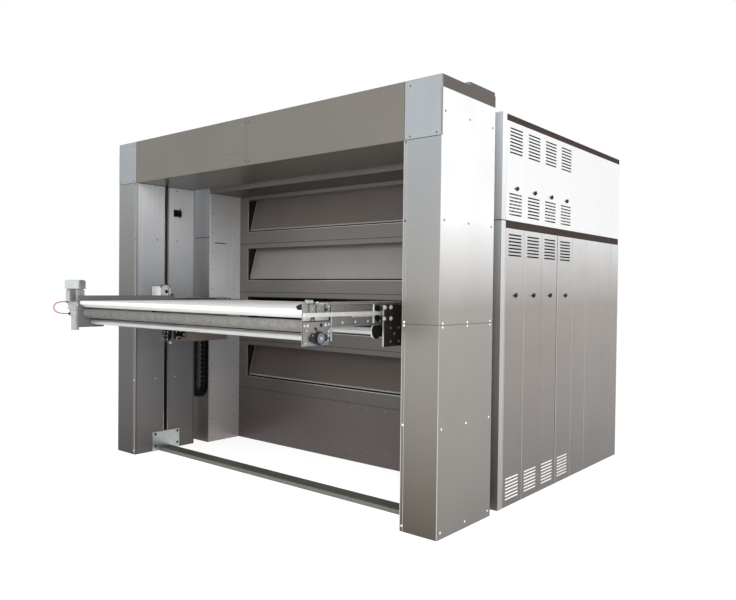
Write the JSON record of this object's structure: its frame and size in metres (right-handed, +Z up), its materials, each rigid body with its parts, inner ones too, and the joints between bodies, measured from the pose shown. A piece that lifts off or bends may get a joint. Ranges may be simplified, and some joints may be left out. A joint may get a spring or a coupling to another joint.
{
  "type": "deck oven with lift loader",
  "caption": "Stacked deck bakery oven with flap doors, side cabinets, a portal in front and a belt table that rides up the portal and slides into each baking chamber.",
  "frame": {"origin": "centre of the oven block's footprint, on the floor", "axes": "+X to the right seen from the loading side, +Y from the portal into the oven, +Z up"},
  "size_m": [3.78, 3.996, 3.025],
  "materials": {
    "stainless": "brushed, satin",
    "chamber_steel": "heat darkened, matt",
    "baking_sole": "matt",
    "brown_trim": "satin",
    "black_plastic": "matt",
    "dark_steel": "satin",
    "zinc_plate": "zinc plated, satin",
    "white_belt": "close woven, matt",
    "grip_rubber": "grained",
    "polished_tube": "ground, bright",
    "motor_paint": "semi gloss",
    "cast_aluminium": "cast, satin",
    "orange_lead": "matt"
  },
  "bodies": {
    "oven": {"base_plinth": "stainless", "base_front_panel": "stainless", "deck_soles": "baking_sole", "oven_side_walls": "chamber_steel", "rear_housing": "stainless", "oven_crown": "stainless", "extraction_hood": "stainless", "deck_fronts": "stainless", "left_cabinet": "stainless", "right_cabinet": "stainless", "cabinet_front_panels": "stainless", "left_lower_panels": "stainless", "left_upper_panels": "stainless", "right_lower_panels": "stainless", "right_upper_panels": "stainless", "trim_strips": "brown_trim", "panel_latches": "black_plastic", "left_tower": "stainless", "right_tower": "stainless", "left_tower_inner_panel": "stainless", "right_tower_inner_panel": "stainless", "lift_guide_posts": "dark_steel", "header_beam": "stainless", "header_front_panels": "stainless", "tower_caps": "brown_trim", "roof_hatches": "stainless", "floor_channel": "dark_steel", "channel_end_plates": "zinc_plate", "energy_chain": "black_plastic", "chain_bracket": "zinc_plate"},
    "lift_carriage": {"left_carriage_plate": "dark_steel", "right_carriage_plate": "dark_steel", "left_lift_arm": "dark_steel", "right_lift_arm": "dark_steel", "left_guide_rollers": "dark_steel", "right_guide_rollers": "dark_steel"},
    "loader_table": {"left_side_frame": "zinc_plate", "right_side_frame": "zinc_plate", "rack_rails": "zinc_plate", "loader_belt": "white_belt", "belt_bed": "zinc_plate", "drive_roller": "grip_rubber", "return_tube": "polished_tube", "rear_drum": "polished_tube", "end_bearings": "dark_steel", "belt_gearmotor": "motor_paint", "feed_motor": "cast_aluminium", "motor_lead": "orange_lead"},
    "deck_1_door": {"deck_1_door": "stainless"},
    "deck_2_door": {"deck_2_door": "stainless"},
    "deck_3_door": {"deck_3_door": "stainless"},
    "deck_4_door": {"deck_4_door": "stainless"}
  },
  "joints": [
    {"name": "lift", "type": "slide", "parent": "oven", "child": "lift_carriage", "axis": [0, 0, 1], "range_m": [-0.741, 0.799]},
    {"name": "loader_feed", "type": "slide", "parent": "lift_carriage", "child": "loader_table", "axis": [0, 1, 0], "range_m": [0, 0.94]},
    {"name": "deck_1_door_hinge", "type": "hinge", "parent": "oven", "child": "deck_1_door", "pos_m": [0, -0.864, 1.026], "axis": [1, 0, 0], "range_deg": [0, 104]},
    {"name": "deck_2_door_hinge", "type": "hinge", "parent": "oven", "child": "deck_2_door", "pos_m": [0, -0.864, 1.5395], "axis": [1, 0, 0], "range_deg": [-104, 0]},
    {"name": "deck_3_door_hinge", "type": "hinge", "parent": "oven", "child": "deck_3_door", "pos_m": [0, -0.864, 2.053], "axis": [1, 0, 0], "range_deg": [0, 104]},
    {"name": "deck_4_door_hinge", "type": "hinge", "parent": "oven", "child": "deck_4_door", "pos_m": [0, -0.864, 2.5665], "axis": [1, 0, 0], "range_deg": [0, 104]}
  ]
}
